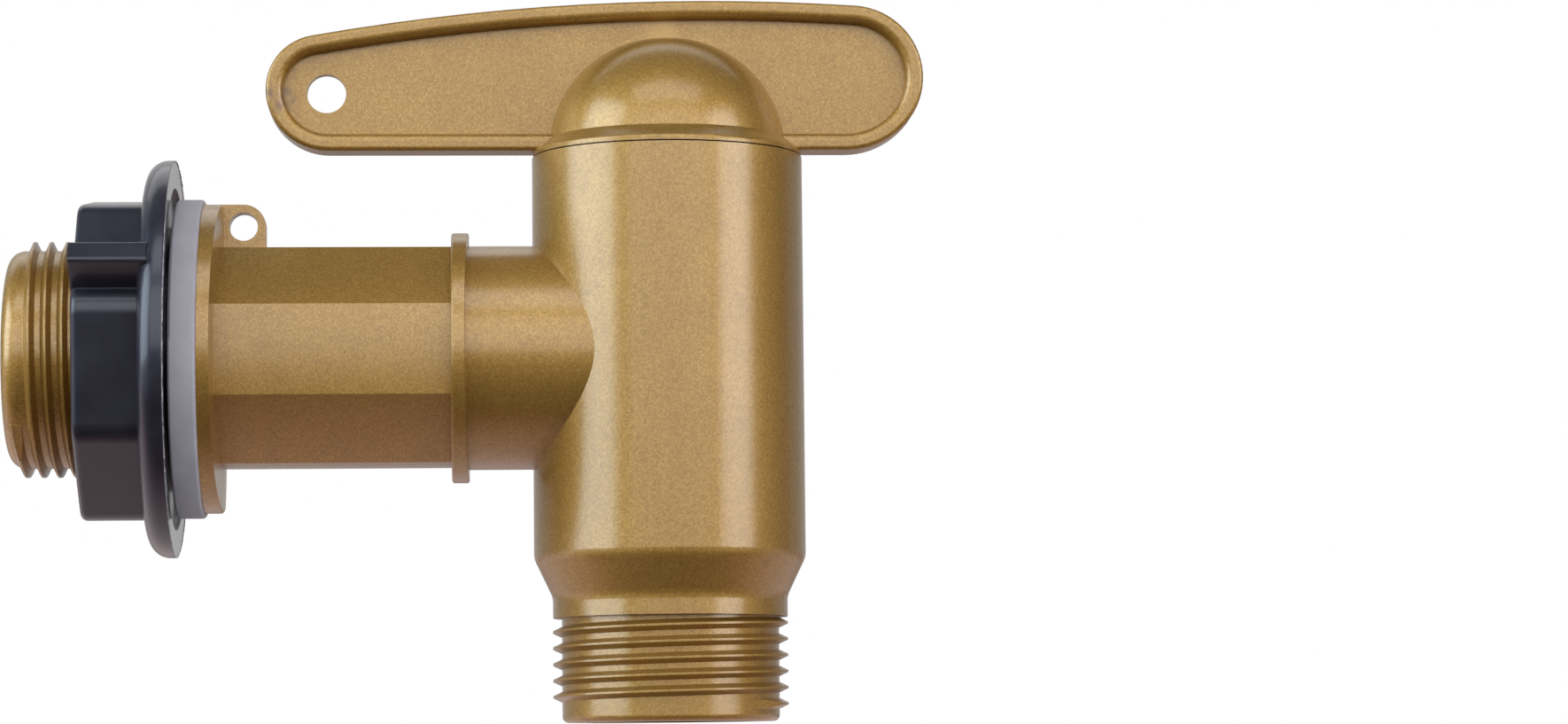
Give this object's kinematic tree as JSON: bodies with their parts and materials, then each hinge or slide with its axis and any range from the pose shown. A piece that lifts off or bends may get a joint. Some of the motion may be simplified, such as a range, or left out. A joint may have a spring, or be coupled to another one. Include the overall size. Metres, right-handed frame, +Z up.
{
  "type": "water butt tap",
  "caption": "Quarter-turn lever tap for a water butt: threaded inlet with wall flange, washer and back nut, octagonal tube, upright barrel with a threaded spout below.",
  "frame": {"origin": "centre of the flange's sealing face, on the axis of the inlet", "axes": "+X along the inlet's axis from the wall of the butt towards the barrel, +Z up along the barrel's axis, so the spout points to -Z"},
  "size_m": [0.1029, 0.0446, 0.0816],
  "materials": {
    "bronze_plastic": "satin gold-bronze paint with fine metal flake",
    "seal_rubber": "matte black",
    "washer_rubber": "matte mid grey",
    "nut_plastic": "satin charcoal"
  },
  "bodies": {
    "tap": {"tap_body": "bronze_plastic"},
    "lever": {"lever_plug": "bronze_plastic", "stem_seal": "seal_rubber", "port_seal": "seal_rubber"},
    "washer": {"wall_washer": "washer_rubber"},
    "nut": {"back_nut": "nut_plastic"}
  },
  "joints": [
    {"name": "lever_turn", "type": "hinge", "parent": "tap", "child": "lever", "pos_m": [0.052, 0, 0], "axis": [0, 0, 1], "range_deg": [0, 90]},
    {"name": "washer_slide", "type": "slide", "parent": "tap", "child": "washer", "axis": [-1, 0, 0], "range_m": [0, 0.0077]},
    {"name": "nut_turn", "type": "hinge", "parent": "washer", "child": "nut", "pos_m": [0, 0, 0], "axis": [-1, 0, 0], "range_deg": [0, 1530]}
  ],
  "couplings": [
    {"joint": "nut_turn", "follows": "washer_slide", "rad_per_m": 3463.7}
  ]
}
